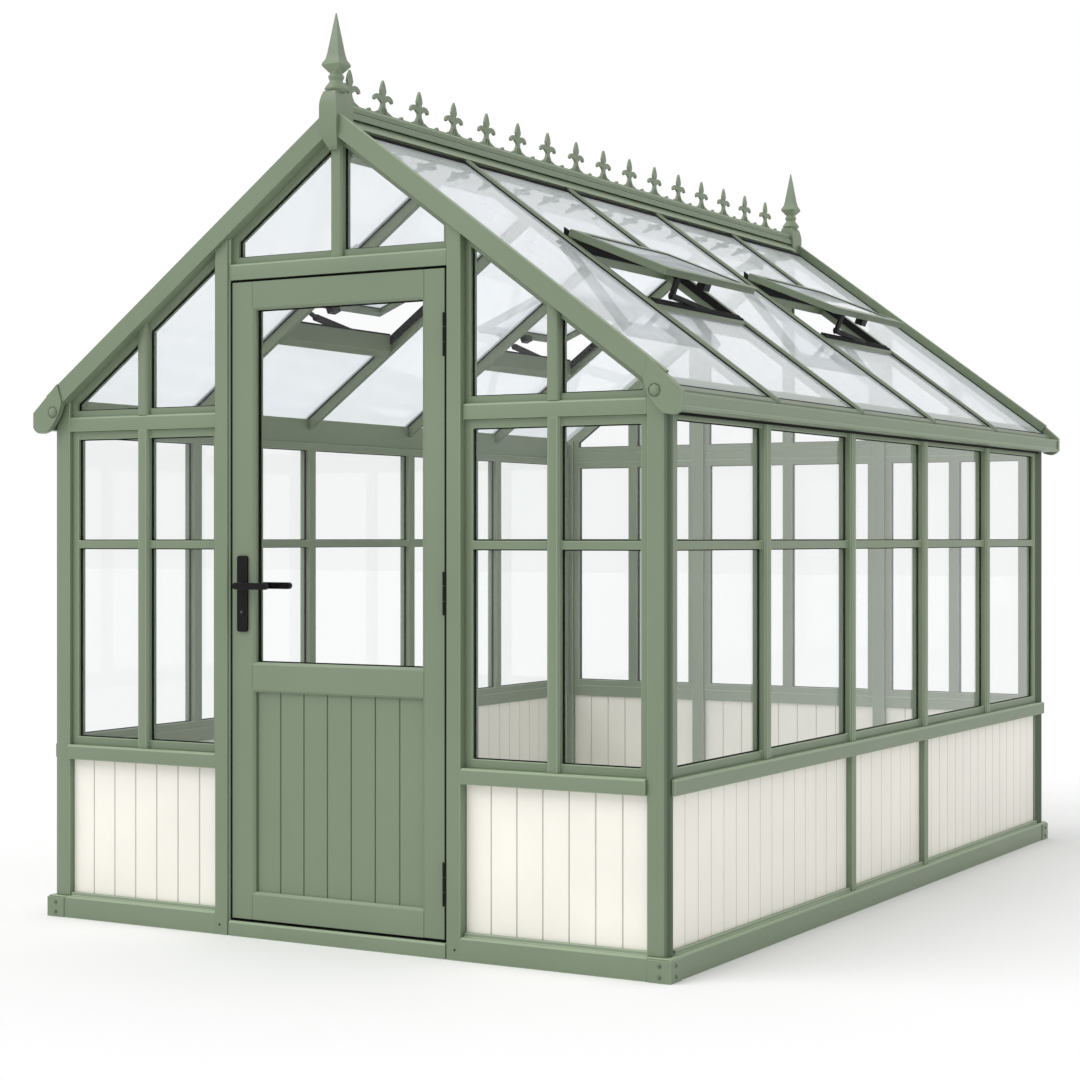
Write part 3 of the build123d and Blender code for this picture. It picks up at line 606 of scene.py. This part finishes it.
ridge_seal_x = (0.040, 0.051)
eaves_seal_x = (1.0865, 1.0925)
bays = 5
roof_long = 3.31
bay = roof_long / bays
bar_half = 0.015
bar_seal_wide = 0.005
vent_bays = (1, 3)
vent_gap = (0.384, 0.706)
seal_top = -0.0265
eaves_seal_top = -0.0275
strips = bmesh.new()
for side in (-1, 1):
    for index in range(bays):
        y_low = -roof_long / 2 + bay * index + bar_half
        y_high = y_low + bay - 2 * bar_half
        for (x_in, x_out), top in ((ridge_seal_x, seal_top), (eaves_seal_x, eaves_seal_top)):
            add_slope_box(strips, side * x_in, side * x_out, y_low, y_high, glass_lift, top)
        runs = [(ridge_seal_x[1], eaves_seal_x[0])]
        if index in vent_bays:
            runs = [(ridge_seal_x[1], vent_gap[0]), (vent_gap[1], eaves_seal_x[0])]
        for x_in, x_out in runs:
            for edge, inwards in ((y_low, 1), (y_high, -1)):
                sides = sorted((edge, edge + inwards * bar_seal_wide))
                add_slope_box(strips, side * x_in, side * x_out, *sides, glass_lift, seal_top)
bmesh.ops.recalc_face_normals(strips, faces=strips.faces)
# These black lines are painted shade: in the gaps above and under the gutters, and in the capping's groove
# and step.
drip_shade_x = (1.1082, 1.1092)
drip_shade_z = (1.574, 1.5795)
gutter_shade_x = (1.0801, 1.0835)
gutter_shade_z = (1.5205, 1.5279)
groove_shade_x = (0.0151, 0.0182)
groove_shade_z = (2.4342, 2.4368)
step_shade_x = (0.0162, 0.0225)
step_shade_z = (2.4122, 2.4139)
roof_end = roof_long / 2
beam_end = roof_end - 0.065
capping_end = roof_end - 0.05
shade_lines = ((drip_shade_x, drip_shade_z, roof_end), (gutter_shade_x, gutter_shade_z, beam_end),
               (groove_shade_x, groove_shade_z, capping_end), (step_shade_x, step_shade_z, capping_end))
for side in (-1, 1):
    for x_pair, z_pair, reach in shade_lines:
        x_low, x_high = sorted((side * x_pair[0], side * x_pair[1]))
        add_box(strips, (x_low, -reach, z_pair[0]), (x_high, reach, z_pair[1]))
finished("ridge_and_eaves_seals_and_shade", strips, [black_rubber_and_shade])

# Vents: aluminium sashes hinged at the top edge and held open on folding black arms. Rubber lines the sides
# of each opening and lies in two ribs along its sill, a black strip lines the upper part of its head, and a
# black stop closes each end of the hinge.
for node in ("vent_trimmers", "vent_frames"):
    eased_part(node, bar_coat, bar_ease)
# The paler second black is a painted highlight on the eased edges.
black_steel = (plain_material("black_steel", (0.008, 0.007, 0.007), 0.42, specular=0.12),
               plain_material("black_steel_edge_highlights", (0.07, 0.07, 0.07), 0.3))
eased_part("vent_openers", black_steel, cast_ease)
opening_head = 0.418
opening_sill = 0.680
lining = 0.004
lining_from_bar = 0.0112
lining_lift = (-0.045, -0.0305)
lip_from_bar = (0.0152, 0.0195)
lip_lift = (-0.045, -0.021)
head_lining = 0.002
head_lift = (-0.045, -0.0215)
sill_from_bar = 0.016
rib_places = ((0.6815, 0.6895), (0.6945, 0.7005))
rib_lift = (-0.0199, -0.0145)
stop_x = (0.388, 0.402)
stop_from_bar = (0.004, 0.016)
stop_lift = (-0.0199, -0.004)
vent_rubber = bmesh.new()
hinge_stops = bmesh.new()
for side in (-1, 1):
    for index in vent_bays:
        y_low = -roof_long / 2 + bay * index
        y_high = y_low + bay
        opening = (side * opening_head, side * opening_sill)
        stop = (side * stop_x[0], side * stop_x[1])
        for edge, inwards in ((y_low, 1), (y_high, -1)):
            faces = sorted((edge + inwards * lining_from_bar, edge + inwards * (lining_from_bar + lining)))
            lips = sorted(edge + inwards * place for place in lip_from_bar)
            ends = sorted(edge + inwards * place for place in stop_from_bar)
            add_slope_box(vent_rubber, *opening, *faces, *lining_lift)
            add_slope_box(vent_rubber, *opening, *lips, *lip_lift)
            add_slope_box(hinge_stops, *stop, *ends, *stop_lift)
        head = (side * opening_head, side * (opening_head + head_lining))
        between = (y_low + sill_from_bar, y_high - sill_from_bar)
        add_slope_box(vent_rubber, *head, *between, *head_lift)
        for x_in, x_out in rib_places:
            add_slope_box(vent_rubber, side * x_in, side * x_out, *between, *rib_lift)
bmesh.ops.recalc_face_normals(vent_rubber, faces=vent_rubber.faces)
bmesh.ops.recalc_face_normals(hinge_stops, faces=hinge_stops.faces)
finished("vent_opening_seals", vent_rubber, [black_rubber_and_shade])
finished("vent_hinge_stops", hinge_stops, black_steel)

# Gutters: pressed aluminium troughs along both eaves, powder coated sage green and closed by a shaped plate
# at each end.
for node in ("side_gutters", "gutter_end_caps"):
    eased_part(node, coated_steel, folded_ease)

# Door: a softwood leaf whose stiles run its full height, with fine dark lines of painted shade where the
# rails meet them, and a boarded foot. Rubber lies in the gaps round it, and black strips edge its face at the
# hinges and the post's face on the lock side. It hangs on three black butt hinges and has black lever
# furniture.
stile_joint = 0.3038
joint_ease = 0.0013


def sawn(node, cuts):
    """What is left of a CAD part after flat cuts, each given by its distance from the middle and a side."""
    build = merged_copy(node)
    for place, keeps_above in cuts:
        away = Vector((-1, 0, 0)) if keeps_above else Vector((1, 0, 0))
        everything = build.verts[:] + build.edges[:] + build.faces[:]
        cut = bmesh.ops.bisect_plane(build, geom=everything, dist=0.00001, plane_co=(place, 0, 0),
                                     plane_no=away, clear_outer=True)
        rim = [item for item in cut["geom_cut"] if isinstance(item, bmesh.types.BMEdge)]
        bmesh.ops.holes_fill(build, edges=rim, sides=0)
    bmesh.ops.recalc_face_normals(build, faces=build.faces)
    return build


# The door boards' joints are darkened the same way, partly for dust and partly as painted shade.
sage_joint_dust_and_shade = painted("sage_joint_dust_and_shade", [value * 0.75 for value in sage])
for name, cuts in (("door_lock_stile", [(-stile_joint, False)]), ("door_hinge_stile", [(stile_joint, True)]),
                   ("door_rails", [(-stile_joint, True), (stile_joint, False)])):
    timber = sawn("door_frame", cuts)
    ease(timber, joint_ease)
    finished(name, timber, sage_paint, "door", "door_frame")
sage_dust_and_shade = painted("sage_tongue_dust_and_shade", [value * 0.35 for value in sage])
boarded("door_boards", "door_panel", (sage_paint[0], sage_joint_dust_and_shade, sage_dust_and_shade), "door")

leaf_low, leaf_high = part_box("door_frame")
pane_low, pane_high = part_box("door_glass")
panel_low, panel_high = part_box("door_panel")
rail_bevel = 0.008
line_half = 0.0008
line_proud = 0.00015
line_deep = 0.0005
rail_runs = ((leaf_low.z, panel_low.z - rail_bevel), (panel_high.z + rail_bevel, pane_low.z - rail_bevel),
             (pane_high.z + rail_bevel, leaf_high.z))
leaf_faces = ((leaf_low.y - line_proud, leaf_low.y + line_deep),
              (leaf_high.y - line_deep, leaf_high.y + line_proud))
joint_shade_lines = bmesh.new()
for x_middle in (-stile_joint, stile_joint):
    for z_low, z_high in rail_runs:
        for y_low, y_high in leaf_faces:
            add_box(joint_shade_lines, (x_middle - line_half, y_low, z_low), (x_middle + line_half, y_high, z_high))
# The fine dark lines at the stile joints are painted shade.
stile_shade_line = painted("sage_stile_joint_shade", [value * 0.45 for value in sage])
finished("door_joint_shade_lines", joint_shade_lines, [stile_shade_line], "door")
gap = 0.006
draught_thick = 0.001
draught_in = 0.001
draught_out = 0.040
step_wide = 0.0038
step_proud = 0.001
strip_proud = 0.0006
off_the_leaf = 0.0001
sill_lip = 0.004
sill_thick = 0.0015
sill_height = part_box("door_threshold")[1].z
head_low = leaf_high.z + gap
lock_side = leaf_low.x - gap
seal_y = (leaf_low.y + draught_in, leaf_low.y + draught_out)
frame_seals = bmesh.new()
add_box(frame_seals, (lock_side, seal_y[0], sill_height), (lock_side + draught_thick, seal_y[1], head_low))
# A black strip stands on the post's face along the lock-side gap.
add_box(frame_seals, (lock_side - step_wide, leaf_low.y - step_proud, sill_height),
        (lock_side, leaf_low.y - off_the_leaf, head_low))
add_box(frame_seals, (leaf_low.x, seal_y[0], head_low - draught_thick), (leaf_high.x, seal_y[1], head_low))
add_box(frame_seals, (leaf_low.x, seal_y[0] - sill_lip, sill_height),
        (leaf_high.x, seal_y[1], sill_height + sill_thick))
finished("door_frame_seals", frame_seals, [black_rubber_and_shade])
leaf_seal = bmesh.new()
hinge_side = leaf_high.x + draught_thick
add_box(leaf_seal, (leaf_high.x, seal_y[0], leaf_low.z), (hinge_side, seal_y[1], leaf_high.z))
# A black strip edges the leaf's face along the hinge side.
add_box(leaf_seal, (leaf_high.x - step_wide, leaf_low.y - strip_proud, leaf_low.z),
        (hinge_side, leaf_low.y - off_the_leaf, leaf_high.z))
finished("door_edge_seal", leaf_seal, [black_rubber_and_shade], "door")

hinge_ease = 0.0006
lever_ease = 0.001
eased_part("hinge_knuckles", black_steel, hinge_ease)
eased_part("door_hinge_leaves", black_steel, hinge_ease, "door")
lock_build = merged_copy("door_lock_plates")
ease(lock_build, lever_ease)
lock_plates = finished("eased_lock_plates", lock_build, black_steel, "door",
                       "door_lock_plates")
lock_plates.data.shade_flat()
eased_part("door_levers", black_steel, lever_ease, "handle")

plate_low, plate_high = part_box("door_lock_plates")
key_height = 0.968
key_radius = 0.0038
barrel_long = 0.003
barrel_sunk = 0.0008
dull_steel = plain_material("dull_steel", (0.09, 0.09, 0.09), 0.35, metallic=0.6)
key_spot = Vector(((plate_low.x + plate_high.x) / 2, plate_low.y + barrel_sunk, key_height))
barrel = bmesh.new()
barrel_turn = Matrix.Translation(key_spot) @ Matrix.Rotation(pi / 2, 4, "X")
bmesh.ops.create_cone(barrel, segments=24, cap_ends=True, radius1=key_radius, radius2=key_radius,
                      depth=barrel_long, matrix=barrel_turn)
finished("lock_barrel", barrel, [dull_steel], "door")
